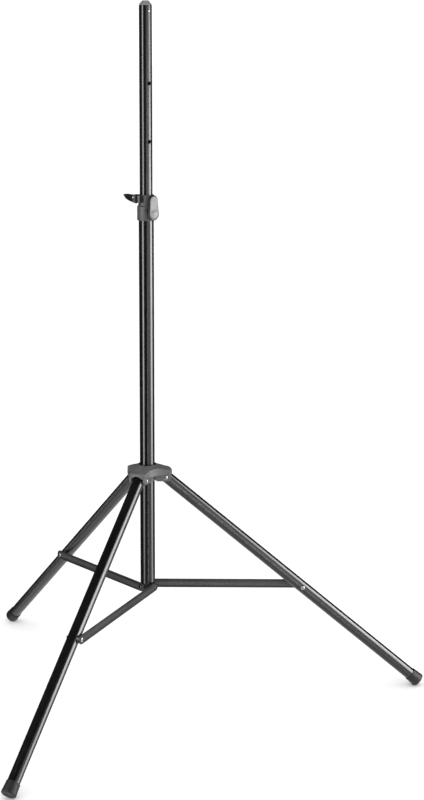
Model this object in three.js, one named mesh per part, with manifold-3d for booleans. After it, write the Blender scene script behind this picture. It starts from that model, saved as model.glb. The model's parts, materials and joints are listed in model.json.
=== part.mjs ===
// Speaker tripod stand: a telescopic steel pole on three folding tube legs.
// Millimetres, +Z up. The origin is on the floor, at the middle of the footprint.
// Every piece is its own closed solid; touching pieces keep a small running gap.

import * as THREE from 'three';
import { mergeVertices } from 'three/addons/utils/BufferGeometryUtils.js';
import Module from 'manifold-3d';

const wasm = await Module();
wasm.setup();

// ---------------------------------------------------------------- driving dimensions

const GAP = 0.3;               // running gap between touching pieces
const LEGS = 3;
const LEG_STEP = 120;          // degrees between legs
const POLE_AXIS_X = -196.8;    // centres the footprint on the origin

const POLE_RADIUS = 17.5;      // the 35 mm pole that a loudspeaker's socket takes
const POLE_BORE = 15.7;
const POLE_LENGTH = 1050;
const POLE_TOP = 1960;         // top edge of the inner tube at the stored extension
const POLE_BOTTOM = POLE_TOP - POLE_LENGTH;
const POLE_HOLE_RADIUS = 5.5;
const POLE_HOLE_PITCH = 156.5;
const POLE_HOLES = 6;
const POLE_FIRST_HOLE = 1753;
const POLE_END = 30;           // past every wall that is drilled from the axis
const CAP_HEIGHT = 12.5;
const CAP_TOP_RADIUS = 7.5;
const CAP_PLUG_DEPTH = 32;
const CAP_CHAMFER = 0.8;
const CAP_RIVET_DROP = 15;     // below the inner tube's top edge
const CAP_RIVET_RADIUS = 2.7;
const CAP_RIVET_START = 10.5;
const GUIDE_LENGTH = 32;       // bush on the lower end of the inner tube
const GUIDE_RISE = 2;
const UPPER_BUSH_BOTTOM = 1345;
const UPPER_BUSH_TOP = 1392;

const OUTER_RADIUS = 20.8;
const OUTER_BORE = 19.3;
const OUTER_BOTTOM = 339;
const OUTER_TOP = 1420.4;

const PLUG_RIM_RADIUS = 20.6;  // plastic fitting in the lower end of the outer tube
const PLUG_RADIUS = 18.9;
const PLUG_BORE = 13;
const PLUG_TOP = 368;
const LUG_HALF_WIDTH = 11;
const LUG_START = 12;

const LEG_RADIUS = 17;
const LEG_BORE = 15.5;
const LEG_PIVOT_R = 50;        // distance of the leg pivot from the pole's axis
const LEG_PIVOT_Z = 655;
const LEG_ABOVE_PIVOT = 10;
const LEG_TO_FOOT = 952.2;     // pivot to the mouth of the rubber foot
const LEG_SLOPE = THREE.MathUtils.degToRad(40.6);
const PIVOT_PIN_RADIUS = 4;
const PIVOT_HEAD_RADIUS = 6;
const PIVOT_HEAD_HEIGHT = 2.2;
const INSERT_LENGTH = 23;      // plastic insert in the leg's upper end
const INSERT_RISE = 1;

const FOOT_LENGTH = 34;
const FOOT_LIP_RADIUS = 19;
const FOOT_END_RADIUS = 20.5;
const FOOT_ROUNDING = 3;
const FOOT_LIP_CHAMFER = 0.7;
const TUBE_IN_FOOT = 26;

const BRACE_PIN_Z = 330;       // inner brace pivots, on the bottom fitting
const BRACE_ON_LEG = 522.9;    // from the leg pivot to the brace's outer pivot
const BRACE_HALF_WIDTH = 12.75;
const BRACE_INNER_FACE = 22.2; // the bar lies beside its leg, on the anticlockwise side
const BRACE_OUTER_FACE = 26.2;
const BRACE_BEVEL = 0.8;
const WASHER_GAP = 0.4;        // between a brace and what it lies against
const RIVET_RADIUS = 4;
const RIVET_HEAD_RADIUS = 6.5;
const RIVET_HEAD_HEIGHT = 1.8;
const INNER_RIVET_START = 14;
const SADDLE_RADIUS = 11;      // plastic saddle between leg and brace
const SADDLE_START = 8;
const LEG_RIVET_RADIUS = 3.5;
const LEG_RIVET_HEAD_RADIUS = 6;
const LEG_RIVET_HEAD_HEIGHT = 2.4;
const LEG_RIVET_SHORT = 0.7;   // how far its end stops short of the brace

const HUB_ARM_REACH = 70;
const HUB_ARM_HALF = 25;
const HUB_CHEEK_FACE = 24.5;    // outer face of the side walls that carry a leg's pin
const HUB_FORK_HALF = 17.8;
const HUB_BARREL_RADIUS = 28;
const HUB_BORE = 23.8;
const HUB_TOP = 690;
const HUB_PLATE_UNDERSIDE = 675.7;
const HUB_LIP = 662;
const HUB_BOTTOM = 644;
const HUB_CORNER = 6;
const HUB_FILLET = 85;
const HUB_BARREL_BOTTOM = 646;
const HUB_END_WALL = 4;        // arm's end wall above the leg
const HUB_POCKET_CORNER = 6;   // fills the fork's top outer corner, clear of the leg's swing
const HUB_SADDLE_Z = 650.2;    // middle of the round notch under each arm
const CHEEK_CORNER = 10;
const BUSH_BOTTOM = 647;
const BUSH_LIP_RADIUS = 25;
const BUSH_LIP_HEIGHT = 1.8;

const LOCK_AZIMUTH = 60;       // locking screw, between the two rear legs
const LOCK_Z = 653;
const LOCK_SCREW_RADIUS = 4;
const LOCK_SCREW_END = 52;
const LOCK_BOSS_RADIUS = 8.5;
const LOCK_BOSS_START = 24;
const LOCK_BOSS_END = 36;
const KNOB_RADIUS = 12.6;
const KNOB_LOBE = 1.6;
const KNOB_LOBES = 5;
const KNOB_START = 48;
const KNOB_LENGTH = 14;
const KNOB_BEVEL = 1.5;
const KNOB_COLLAR_RADIUS = 8;
const KNOB_COLLAR_START = 41;

const CLAMP_BOTTOM = 1381.5;
const CLAMP_SHOULDER = 1420.3;
const CLAMP_TOP = 1452;
const CLAMP_RADIUS = 25;
const NECK_RADIUS = 21.5;
const NECK_BORE = 17.9;
const LEVER_AZIMUTH = -60;     // clamping lever, on a radial screw
const LEVER_Z = 1401;
const LEVER_TIP_Z = 1439.5;
const LEVER_HUB_RADIUS = 18;
const LEVER_ARM_RADIUS = 13.5;
const LEVER_BACK = 30;         // its rear face, from the pole's axis
const LEVER_DEPTH = 7.4;
const LEVER_BEVEL = 1.2;
const COVER_HUB_RADIUS = 13.4;
const COVER_ARM_RADIUS = 10.8;
const COVER_SHIFT = -1;        // its middle from the lever's middle
const COVER_RISE = 1.4;
const COVER_BACK = 37.7;
const COVER_DEPTH = 3;
const COVER_INSET = 0.5;        // below the lever's own tip
const DOME_RADIUS = 12.6;
const DOME_FRONT = 42.8;
const CLAMP_BOSS_RADIUS = 12.5;
const CLAMP_BOSS_START = 22;
const CLAMP_BOSS_END = 29.5;
const CLAMP_SCREW_RADIUS = 4;
const CLAMP_SCREW_START = 21.5;
const SCREW_HEAD_RADIUS = 6.4;
const SCREW_HEAD_BACK = 34;
const SCREW_HEAD_FRONT = 37.2;
const HEX = 6;
const NUT_RADIUS = 7;
const NUT_BACK = 22.5;
const NUT_FRONT = 27.8;
const PAD_RADIUS = 5.5;        // plastic pad that the screw presses on the inner tube
const PAD_FRONT = 21.1;
const SET_SCREW_AZIMUTH = -88;
const SET_SCREW_Z = 1411.5;
const SET_SCREW_RADIUS = 2.7;
const SET_SCREW_BACK = 21.2;
const SET_SCREW_FRONT = 24.2;

const LATCH_AZIMUTH = 180;     // release lever of the safety bolt
const BOLT_Z = 1440;
const BOLT_RADIUS = 3.2;
const BOLT_COLLAR_RADIUS = 4.2;
const BOLT_COLLAR_BACK = 22;
const BOLT_COLLAR_FRONT = 23.4;
const BOLT_STEM_RADIUS = 2.4;
const BOLT_END = 38.8;
const CROSS_PIN_R = 36.5;
const CROSS_PIN_RADIUS = 1.4;
const CROSS_PIN_HALF = 7.7;
const RETAINER_RADIUS = 4.3;
const RETAINER_BACK = 30.6;
const RETAINER_FRONT = 33.4;
const SPRING_RADIUS = 3.55;
const SPRING_WIRE = 0.4;
const SPRING_TURNS = 5;
const SPRING_START = 24;
const SPRING_LENGTH = 6.2;
const LATCH_PIN_R = 28;
const LATCH_PIN_Z = 1432.3;
const LATCH_PIN_RADIUS = 1.5;
const LATCH_PIN_HALF = 8.4;
const EAR_START = 19;          // block that carries the bolt and the release lever
const EAR_END = 33.5;
const EAR_HALF = 5.6;
const EAR_BOTTOM = 1429.5;
const EAR_TOP = 1448.6;
const EAR_CORNER = 2.5;        // cut off so that the lever's web swings past
const BEAK_HALF = 8.1;
const YOKE_HALF = 21.8;        // its root is a yoke that straddles the clamp's neck
const YOKE_END = 9.2;
const YOKE_GAP = 0.4;
const BEAK_HOLLOW_HALF = 6;
const BEAK_HOLLOW_END = 42;
const BEAK_WEB = 1449.2;       // underside of the web that joins its cheeks
const SLOT_RADIUS = 2;
const SLOT_DROP = 0.3;
const SLOT_RISE = 4.9;

const FINE = 24;               // sides of the tubes
const SMALL = 10;              // sides of pins and small holes
const HEAD_SIDES = 18;         // sides of rivet heads

// ---------------------------------------------------------------- materials

function material(color, roughness, metalness) {
  return new THREE.MeshStandardMaterial({ color, roughness, metalness });
}

const blackCoat = material(0x18181a, 0.3, 0.2);
const satinGrey = material(0x5c5e60, 0.5, 0.1);
const slateGrey = material(0x4a484e, 0.5, 0.1);
const lightGrey = material(0xa8abad, 0.45, 0.0);
const blackPlastic = material(0x111113, 0.4, 0.0);
const whitePlastic = material(0xc9c8c2, 0.5, 0.0);
const rubber = material(0x141414, 0.8, 0.0);
const steel = material(0xc4c6c9, 0.25, 1.0);
const darkSteel = material(0x3c3d40, 0.35, 1.0);

// ---------------------------------------------------------------- geometry helpers

const radians = THREE.MathUtils.degToRad;

// A closed geometry as a manifold solid, for cutting and joining.
function solidOf(geometry) {
  const bare = geometry.index ? geometry.toNonIndexed() : geometry.clone();
  bare.deleteAttribute('normal');
  bare.deleteAttribute('uv');
  const merged = mergeVertices(bare, 1e-4);
  const triVerts = [];
  const index = merged.index.array;
  for (let i = 0; i < index.length; i += 3) {
    const [a, b, c] = [index[i], index[i + 1], index[i + 2]];
    if (a !== b && b !== c && c !== a) triVerts.push(a, b, c);
  }
  return new wasm.Manifold(new wasm.Mesh({
    numProp: 3,
    vertProperties: Float32Array.from(merged.attributes.position.array),
    triVerts: Uint32Array.from(triVerts),
  }));
}

function geometryOf(solid) {
  const mesh = solid.getMesh();
  const geometry = new THREE.BufferGeometry();
  geometry.setAttribute('position', new THREE.BufferAttribute(mesh.vertProperties, 3));
  geometry.setIndex(new THREE.BufferAttribute(mesh.triVerts, 1));
  geometry.computeVertexNormals();
  return geometry;
}

// The first geometries joined, less all of the second.
function carve(joined, removed = []) {
  let solid = solidOf(joined[0]);
  for (const piece of joined.slice(1)) solid = solid.add(solidOf(piece));
  for (const piece of removed) solid = solid.subtract(solidOf(piece));
  return geometryOf(solid);
}

function common(a, b) {
  return geometryOf(solidOf(a).intersect(solidOf(b)));
}

function cylinder(radius, z0, z1, sides = FINE) {
  const geometry = new THREE.CylinderGeometry(radius, radius, z1 - z0, sides);
  return geometry.rotateX(Math.PI / 2).translate(0, 0, (z0 + z1) / 2);
}

function box(x0, x1, y0, y1, z0, z1) {
  const geometry = new THREE.BoxGeometry(x1 - x0, y1 - y0, z1 - z0);
  return geometry.translate((x0 + x1) / 2, (y0 + y1) / 2, (z0 + z1) / 2);
}

// A profile of [radius, z] points, listed upwards on the outside, turned about +Z.
function revolve(profile, sides = FINE) {
  const points = profile.map(([r, z]) => new THREE.Vector2(r, z));
  return new THREE.LatheGeometry(points, sides).rotateX(Math.PI / 2);
}

function ring(outer, bore, z0, z1, sides = FINE) {
  return revolve([[bore, z0], [outer, z0], [outer, z1], [bore, z1], [bore, z0]], sides);
}

function outline(points) {
  return new THREE.Shape(points.map(([x, y]) => new THREE.Vector2(x, y)));
}

// Points along an arc, angles in degrees.
function arc(cx, cy, radius, from, to, steps) {
  const points = [];
  for (let i = 0; i <= steps; i += 1) {
    const a = radians(from + ((to - from) * i) / steps);
    points.push([cx + radius * Math.cos(a), cy + radius * Math.sin(a)]);
  }
  return points;
}

function extrude(shape, depth, bevel = 0) {
  return new THREE.ExtrudeGeometry(shape, {
    depth: depth - 2 * bevel,
    bevelEnabled: bevel > 0,
    bevelThickness: bevel,
    bevelSize: bevel,
    bevelOffset: -bevel,
    bevelSegments: 1,
    curveSegments: 12,
  }).translate(0, 0, bevel);
}

const ALONG_RADIUS = new THREE.Matrix4().makeBasis(
  new THREE.Vector3(0, 1, 0), new THREE.Vector3(0, 0, 1), new THREE.Vector3(1, 0, 0));
const ACROSS = new THREE.Matrix4().makeBasis(
  new THREE.Vector3(1, 0, 0), new THREE.Vector3(0, 0, 1), new THREE.Vector3(0, -1, 0));

// Turns a shape made along +Z to point outwards along +X, its x tangential and its y up.
function radial(geometry, height = 0, azimuth = 0) {
  return geometry.applyMatrix4(ALONG_RADIUS).translate(0, 0, height).rotateZ(radians(azimuth));
}

// A side profile in the upright plane through +X, as thick as from y0 to y1.
function sideways(shape, y0, y1, bevel = 0) {
  return extrude(shape, y1 - y0, bevel).applyMatrix4(ACROSS).translate(0, y1, 0);
}

// A pin or hole along +Y through (x, z).
function crosswise(radius, x, z, y0, y1, sides = SMALL) {
  return cylinder(radius, -y1, -y0, sides).rotateX(Math.PI / 2).translate(x, 0, z);
}

// ---------------------------------------------------------------- assembly

const stand = new THREE.Group();
stand.position.set(POLE_AXIS_X, 0, 0);

function place(parent, name, geometry, look) {
  const mesh = new THREE.Mesh(geometry, look);
  mesh.name = name;
  parent.add(mesh);
  return mesh;
}

function turned(parent, azimuth) {
  const group = new THREE.Group();
  group.rotation.z = radians(azimuth);
  parent.add(group);
  return group;
}

// ---------------------------------------------------------------- outer tube

function outerTube() {
  const padHole = cylinder(PAD_RADIUS + 0.5, OUTER_BORE - 4, OUTER_RADIUS + 4, SMALL);
  return carve([ring(OUTER_RADIUS, OUTER_BORE, OUTER_BOTTOM, OUTER_TOP)],
    [radial(padHole, LEVER_Z, LEVER_AZIMUTH)]);
}

// Plastic plug with three flat lugs for the braces.
function bottomFitting() {
  const low = BRACE_PIN_Z - BRACE_HALF_WIDTH;
  const seat = OUTER_BOTTOM - GAP;
  const lugFace = BRACE_INNER_FACE - WASHER_GAP;
  const joined = [cylinder(PLUG_RIM_RADIUS, low, seat), cylinder(PLUG_RADIUS, seat - 1, PLUG_TOP)];
  const removed = [cylinder(PLUG_BORE, low - 1, PLUG_TOP + 1)];
  for (let k = 0; k < LEGS; k += 1) {
    const turn = radians(k * LEG_STEP);
    joined.push(box(-LUG_HALF_WIDTH, LUG_HALF_WIDTH, LUG_START, lugFace, low, seat).rotateZ(turn));
    removed.push(crosswise(RIVET_RADIUS + GAP, 0, BRACE_PIN_Z, LUG_START - 2, POLE_END).rotateZ(turn));
  }
  return carve(joined, removed);
}

// ---------------------------------------------------------------- inner tube

function capRivetHole() {
  return radial(cylinder(CAP_RIVET_RADIUS + GAP, CAP_RIVET_START - 0.5, POLE_END, SMALL),
    POLE_TOP - CAP_RIVET_DROP, LEVER_AZIMUTH);
}

function innerTube() {
  const holes = [capRivetHole()];
  for (let i = 0; i < POLE_HOLES; i += 1) {
    const z = POLE_FIRST_HOLE - i * POLE_HOLE_PITCH;
    holes.push(radial(cylinder(POLE_HOLE_RADIUS, -POLE_END, POLE_END, SMALL), z, LEVER_AZIMUTH));
  }
  return carve([ring(POLE_RADIUS, POLE_BORE, POLE_BOTTOM, POLE_TOP)], holes);
}

function topCap() {
  const low = POLE_TOP - CAP_PLUG_DEPTH;
  const seat = POLE_TOP + GAP;
  const plug = POLE_BORE - GAP;
  const top = POLE_TOP + CAP_HEIGHT;
  const body = revolve([
    [0, low], [plug, low], [plug, seat], [POLE_RADIUS, seat],
    [POLE_RADIUS - CAP_CHAMFER, seat + 2 * CAP_CHAMFER],
    [CAP_TOP_RADIUS + 1, top - CAP_CHAMFER], [CAP_TOP_RADIUS, top], [0, top],
  ]);
  return carve([body], [capRivetHole()]);
}

function capRivet() {
  return radial(cylinder(CAP_RIVET_RADIUS, CAP_RIVET_START, POLE_RADIUS + 0.2, SMALL),
    POLE_TOP - CAP_RIVET_DROP);
}

// ---------------------------------------------------------------- clamp

// Collar on the outer tube's end: a wide barrel under a neck that guides the inner tube.
function clampBarrel() {
  const [lowChamfer, shoulderStep, topChamfer] = [1.2, 1, 1.6];
  const bore = OUTER_RADIUS + GAP;
  const ledge = OUTER_TOP + GAP;
  return revolve([
    [bore, CLAMP_BOTTOM], [CLAMP_RADIUS - lowChamfer, CLAMP_BOTTOM], [CLAMP_RADIUS, CLAMP_BOTTOM + 2],
    [CLAMP_RADIUS, CLAMP_SHOULDER - shoulderStep], [CLAMP_RADIUS - shoulderStep, CLAMP_SHOULDER],
    [NECK_RADIUS + 0.8, CLAMP_SHOULDER + shoulderStep], [NECK_RADIUS, CLAMP_SHOULDER + 3],
    [NECK_RADIUS, CLAMP_TOP - 2], [NECK_RADIUS - topChamfer, CLAMP_TOP],
    [NECK_BORE, CLAMP_TOP], [NECK_BORE, ledge], [bore, ledge], [bore, CLAMP_BOTTOM],
  ]);
}

function clampBody() {
  const boss = cylinder(CLAMP_BOSS_RADIUS, CLAMP_BOSS_START, CLAMP_BOSS_END);
  const ear = outline([
    [EAR_START, EAR_BOTTOM], [EAR_END, EAR_BOTTOM], [EAR_END, EAR_TOP - EAR_CORNER],
    [EAR_END - EAR_CORNER, EAR_TOP], [EAR_START, EAR_TOP],
  ]);
  const onLever = (hole) => radial(hole, LEVER_Z, LEVER_AZIMUTH);
  const onSetScrew = (hole) => radial(hole, SET_SCREW_Z, SET_SCREW_AZIMUTH);
  const onBolt = (hole) => radial(hole, BOLT_Z, LATCH_AZIMUTH);
  const inside = 15;             // a radius inside the bore, where each hole starts
  const collarBore = BOLT_COLLAR_RADIUS + 0.4;
  return carve([
    clampBarrel(), onLever(boss), sideways(ear, -EAR_HALF, EAR_HALF).rotateZ(radians(LATCH_AZIMUTH)),
  ], [
    onLever(cylinder(PAD_RADIUS + GAP, inside, PAD_FRONT + 0.5, SMALL)),
    onLever(cylinder(CLAMP_SCREW_RADIUS + 0.4, inside, POLE_END + 1, SMALL)),
    onLever(cylinder(NUT_RADIUS + 0.4, NUT_BACK - GAP, POLE_END + 1, HEX)),
    onSetScrew(cylinder(SET_SCREW_RADIUS + 0.4, inside, POLE_END, SMALL)),
    onSetScrew(cylinder(SET_SCREW_RADIUS + 2.5, SET_SCREW_FRONT - 1.4, POLE_END, SMALL)),
    onBolt(cylinder(BOLT_RADIUS + GAP, inside, NECK_RADIUS + 2, SMALL)),
    onBolt(cylinder(collarBore, BOLT_COLLAR_BACK - 0.4, EAR_END + 1, SMALL)),
    crosswise(LATCH_PIN_RADIUS + GAP, LATCH_PIN_R, LATCH_PIN_Z, -10, 10).rotateZ(radians(LATCH_AZIMUTH)),
  ]);
}

function clampPad() {
  return radial(cylinder(PAD_RADIUS, POLE_RADIUS + 0.4, PAD_FRONT, SMALL), LEVER_Z);
}

function clampNut() {
  return radial(carve([cylinder(NUT_RADIUS, NUT_BACK, NUT_FRONT, HEX)],
    [cylinder(CLAMP_SCREW_RADIUS + GAP, NUT_BACK - 2, NUT_FRONT + 2, SMALL)]), LEVER_Z);
}

// Screw of the clamping lever; its hexagon head sits in the lever.
function clampScrew() {
  return radial(carve([
    cylinder(CLAMP_SCREW_RADIUS, CLAMP_SCREW_START, SCREW_HEAD_BACK + 1, SMALL),
    cylinder(SCREW_HEAD_RADIUS, SCREW_HEAD_BACK, SCREW_HEAD_FRONT, HEX),
  ]), LEVER_Z);
}

function setScrew() {
  return radial(cylinder(SET_SCREW_RADIUS, SET_SCREW_BACK, SET_SCREW_FRONT, SMALL), SET_SCREW_Z);
}

// Outline of the clamping lever: a round hub at (x, y) with an arm that tapers up to tipY.
function leverOutline(hubRadius, armRadius, tipY, x = 0, y = 0) {
  const lean = (Math.asin((hubRadius - armRadius) / (tipY - y)) * 180) / Math.PI;
  return outline([
    ...arc(x, tipY, armRadius, lean, 180 - lean, 8), ...arc(x, y, hubRadius, 180 - lean, 360 + lean, 14),
  ]);
}

function clampLever() {
  const shape = leverOutline(LEVER_HUB_RADIUS, LEVER_ARM_RADIUS, LEVER_TIP_Z - LEVER_Z);
  const body = extrude(shape, LEVER_DEPTH, LEVER_BEVEL).translate(0, 0, LEVER_BACK);
  const front = LEVER_BACK + LEVER_DEPTH + 2;
  return radial(carve([body], [
    cylinder(CLAMP_SCREW_RADIUS + GAP, LEVER_BACK - 2, front, SMALL),
    cylinder(SCREW_HEAD_RADIUS + 0.4, SCREW_HEAD_BACK - GAP, front, HEX),
  ]), LEVER_Z);
}

function clampLeverCover() {
  const tipY = LEVER_TIP_Z - COVER_INSET - LEVER_Z;
  const shape = leverOutline(COVER_HUB_RADIUS, COVER_ARM_RADIUS, tipY, COVER_SHIFT, COVER_RISE);
  const arm = extrude(shape, COVER_DEPTH, 1).translate(0, 0, COVER_BACK);
  const back = COVER_BACK + GAP;
  const dome = revolve([
    [0, back], [DOME_RADIUS, back], [DOME_RADIUS - 1.2, back + 3],
    [DOME_RADIUS - 5.6, DOME_FRONT - 0.6], [0, DOME_FRONT],
  ]).translate(COVER_SHIFT, COVER_RISE, 0);
  return radial(carve([arm, dome]), LEVER_Z);
}

// ---------------------------------------------------------------- safety bolt and its lever

function safetyBolt() {
  const crossHole = cylinder(CROSS_PIN_RADIUS + GAP, -6, 6, SMALL).rotateY(Math.PI / 2);
  return radial(carve([
    cylinder(BOLT_RADIUS, POLE_RADIUS + 0.35, BOLT_COLLAR_FRONT - 0.4, SMALL),
    cylinder(BOLT_COLLAR_RADIUS, BOLT_COLLAR_BACK, BOLT_COLLAR_FRONT, SMALL),
    cylinder(BOLT_STEM_RADIUS, BOLT_COLLAR_FRONT - 0.4, BOLT_END, SMALL),
  ], [crossHole.translate(0, 0, CROSS_PIN_R)]), BOLT_Z);
}

function boltRetainer() {
  return radial(ring(RETAINER_RADIUS, BOLT_STEM_RADIUS + GAP, RETAINER_BACK, RETAINER_FRONT, SMALL), BOLT_Z);
}

function boltSpring() {
  const perTurn = 8;
  const points = [];
  for (let i = 0; i <= SPRING_TURNS * perTurn; i += 1) {
    const a = (i / perTurn) * 2 * Math.PI;
    const along = SPRING_START + (SPRING_LENGTH * i) / (SPRING_TURNS * perTurn);
    points.push(new THREE.Vector3(SPRING_RADIUS * Math.cos(a), SPRING_RADIUS * Math.sin(a), along));
  }
  const wire = outline(arc(0, 0, SPRING_WIRE, 0, 300, 5));
  return radial(new THREE.ExtrudeGeometry(wire, {
    steps: SPRING_TURNS * 10, bevelEnabled: false, extrudePath: new THREE.CatmullRomCurve3(points),
  }), BOLT_Z);
}

// Two cheeks under a top web, drawn out to a flat beak and, at the root, to a yoke round the neck.
function releaseLever() {
  const side = outline([
    [YOKE_END, 1432], [24, 1430.5], [30, 1429.3], [36, 1431.5], [42, 1433.6], [49, 1436.6],
    [53.5, 1439.4], [58, 1443.8], [61, 1448], [63, 1453], [55, 1454], [50, 1454], [44, 1452.9],
    [37, 1451.8], [25.5, 1451.6], [YOKE_END, 1450],
  ]);
  const halfPlan = [
    [YOKE_END, YOKE_HALF], [19, YOKE_HALF], [25, 18.6], [31, 11.2], [38, BEAK_HALF], [52, 6.6], [60, 4.4],
    [64, 2],
  ];
  const plan = outline([...halfPlan.map(([x, y]) => [x, -y]), ...halfPlan.reverse()]);
  const [low, high] = [EAR_BOTTOM - 10, CLAMP_TOP + 10];
  const hollow = box(EAR_START, BEAK_HOLLOW_END, -BEAK_HOLLOW_HALF, BEAK_HOLLOW_HALF, low, BEAK_WEB);
  const slot = outline([
    ...arc(CROSS_PIN_R, BOLT_Z - SLOT_DROP, SLOT_RADIUS, 180, 360, 6),
    ...arc(CROSS_PIN_R, BOLT_Z + SLOT_RISE, SLOT_RADIUS, 0, 180, 6),
  ]);
  const blank = common(sideways(side, -YOKE_HALF, YOKE_HALF), extrude(plan, high - low).translate(0, 0, low));
  return carve([blank], [
    hollow, cylinder(NECK_RADIUS + YOKE_GAP, low, high), sideways(slot, -12, 12),
    crosswise(LATCH_PIN_RADIUS + GAP, LATCH_PIN_R, LATCH_PIN_Z, -10, 10),
  ]);
}

// ---------------------------------------------------------------- hub

// Plan of the hub: three arms joined by concave fillets, corners rounded.
function hubPlan() {
  const centre = (HUB_ARM_HALF + HUB_FILLET) / Math.sin(radians(LEG_STEP / 2));
  const arm = [
    ...arc(HUB_ARM_REACH - HUB_CORNER, HUB_CORNER - HUB_ARM_HALF, HUB_CORNER, -90, 0, 3),
    ...arc(HUB_ARM_REACH - HUB_CORNER, HUB_ARM_HALF - HUB_CORNER, HUB_CORNER, 0, 90, 3),
    ...arc(centre * 0.5, centre * Math.sin(radians(60)), HUB_FILLET, 270, 270 - LEG_STEP / 2, 6),
  ];
  const points = [];
  for (let k = 0; k < LEGS; k += 1) {
    const turn = radians(k * LEG_STEP);
    for (const [x, y] of arm.slice(0, -1)) {
      const px = x * Math.cos(turn) - y * Math.sin(turn);
      const py = x * Math.sin(turn) + y * Math.cos(turn);
      points.push([px, py]);
    }
  }
  return outline(points);
}

// Conical top of the hub, with a rounded rim.
function hubCrown() {
  return revolve([
    [0, HUB_LIP - 2], [HUB_ARM_REACH, HUB_LIP - 2], [HUB_ARM_REACH, 669], [HUB_ARM_REACH - 1.6, 673.4],
    [HUB_ARM_REACH - 5.5, 676.6], [HUB_ARM_REACH - 12, 678.2], [32, 687.4], [28, HUB_TOP - 0.5],
    [26, HUB_TOP], [0, HUB_TOP],
  ], 36);
}

// Side wall that carries one end of a leg's pivot pin.
function hubCheek() {
  const reach = HUB_ARM_REACH - 4 - CHEEK_CORNER;
  return outline([
    ...arc(reach, HUB_BOTTOM + CHEEK_CORNER, CHEEK_CORNER, 270, 360, 4), [HUB_ARM_REACH - 3, HUB_LIP + 1],
    [20, HUB_LIP + 1], [20, HUB_BOTTOM + 4], [26, HUB_BOTTOM],
  ]);
}

// Space in a fork that the leg's end swings in.
function hubPocket(below) {
  const [start, end] = [30, HUB_ARM_REACH - HUB_END_WALL];
  return outline([
    [start, below], [end, below], [end, HUB_PLATE_UNDERSIDE - HUB_POCKET_CORNER],
    [end - HUB_POCKET_CORNER, HUB_PLATE_UNDERSIDE], [start, HUB_PLATE_UNDERSIDE],
  ]);
}

function lockScrewHole() {
  return radial(cylinder(LOCK_SCREW_RADIUS + 0.4, 10, LOCK_BOSS_END + 4, SMALL), LOCK_Z, LOCK_AZIMUTH);
}

function hub() {
  const plate = extrude(hubPlan(), HUB_TOP - HUB_LIP + 5).translate(0, 0, HUB_LIP);
  const boss = cylinder(LOCK_BOSS_RADIUS, LOCK_BOSS_START, LOCK_BOSS_END, 20);
  const joined = [
    common(plate, hubCrown()), cylinder(HUB_BARREL_RADIUS, HUB_BARREL_BOTTOM, HUB_LIP + 4),
    radial(boss, LOCK_Z, LOCK_AZIMUTH),
  ];
  const removed = [cylinder(HUB_BORE, HUB_BOTTOM - 5, HUB_TOP + 5), lockScrewHole()];
  const below = HUB_BOTTOM - 14;
  const past = HUB_ARM_REACH + 10;
  for (let k = 0; k < LEGS; k += 1) {
    const turn = radians(k * LEG_STEP);
    const cheeks = [[-HUB_CHEEK_FACE, -HUB_FORK_HALF], [HUB_FORK_HALF, HUB_CHEEK_FACE]];
    for (const [y0, y1] of cheeks) joined.push(sideways(hubCheek(), y0, y1).rotateZ(turn));
    removed.push(
      sideways(hubPocket(below), -HUB_FORK_HALF, HUB_FORK_HALF).rotateZ(turn),
      radial(cylinder(HUB_FORK_HALF, 40, past, 20), HUB_SADDLE_Z).rotateZ(turn),
      box(40, past, -HUB_FORK_HALF, HUB_FORK_HALF, below, HUB_SADDLE_Z).rotateZ(turn),
      crosswise(PIVOT_PIN_RADIUS + GAP, LEG_PIVOT_R, LEG_PIVOT_Z, -POLE_END, POLE_END).rotateZ(turn),
    );
  }
  return carve(joined, removed);
}

// Plastic liner that slides on the outer tube.
function hubBush() {
  const bore = OUTER_RADIUS + GAP;
  const lipTop = HUB_TOP + BUSH_LIP_HEIGHT;
  const liner = revolve([
    [bore, BUSH_BOTTOM], [HUB_BORE - GAP, BUSH_BOTTOM], [HUB_BORE - GAP, HUB_TOP + GAP],
    [BUSH_LIP_RADIUS, HUB_TOP + GAP], [BUSH_LIP_RADIUS - 0.6, lipTop], [bore, lipTop], [bore, BUSH_BOTTOM],
  ]);
  return carve([liner], [lockScrewHole()]);
}

function lockScrew() {
  return radial(cylinder(LOCK_SCREW_RADIUS, OUTER_RADIUS + 0.4, LOCK_SCREW_END, SMALL), LOCK_Z);
}

// Star knob with five lobes on a short collar.
function lockKnob() {
  const points = [];
  const steps = 30;
  for (let i = 0; i < steps; i += 1) {
    const a = (i / steps) * 2 * Math.PI;
    const r = KNOB_RADIUS + KNOB_LOBE * Math.cos(KNOB_LOBES * a);
    points.push([r * Math.cos(a), r * Math.sin(a)]);
  }
  const star = extrude(outline(points), KNOB_LENGTH, KNOB_BEVEL).translate(0, 0, KNOB_START);
  const collar = cylinder(KNOB_COLLAR_RADIUS, KNOB_COLLAR_START, KNOB_START + 1, 20);
  const bore = cylinder(LOCK_SCREW_RADIUS + GAP, KNOB_COLLAR_START - 1, LOCK_SCREW_END + 0.4, SMALL);
  return radial(carve([star, collar], [bore]), LOCK_Z);
}

function pivotPin() {
  const face = HUB_CHEEK_FACE + GAP;
  const end = face + PIVOT_HEAD_HEIGHT;
  return carve([
    crosswise(PIVOT_PIN_RADIUS, LEG_PIVOT_R, LEG_PIVOT_Z, -face - 1, face + 1),
    crosswise(PIVOT_HEAD_RADIUS, LEG_PIVOT_R, LEG_PIVOT_Z, face, end, HEAD_SIDES),
    crosswise(PIVOT_HEAD_RADIUS, LEG_PIVOT_R, LEG_PIVOT_Z, -end, -face, HEAD_SIDES),
  ]);
}

// ---------------------------------------------------------------- legs
// In the leg's own frame the pivot is the origin and +X runs down the leg.

const TUBE_END = LEG_TO_FOOT + TUBE_IN_FOOT;

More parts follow.
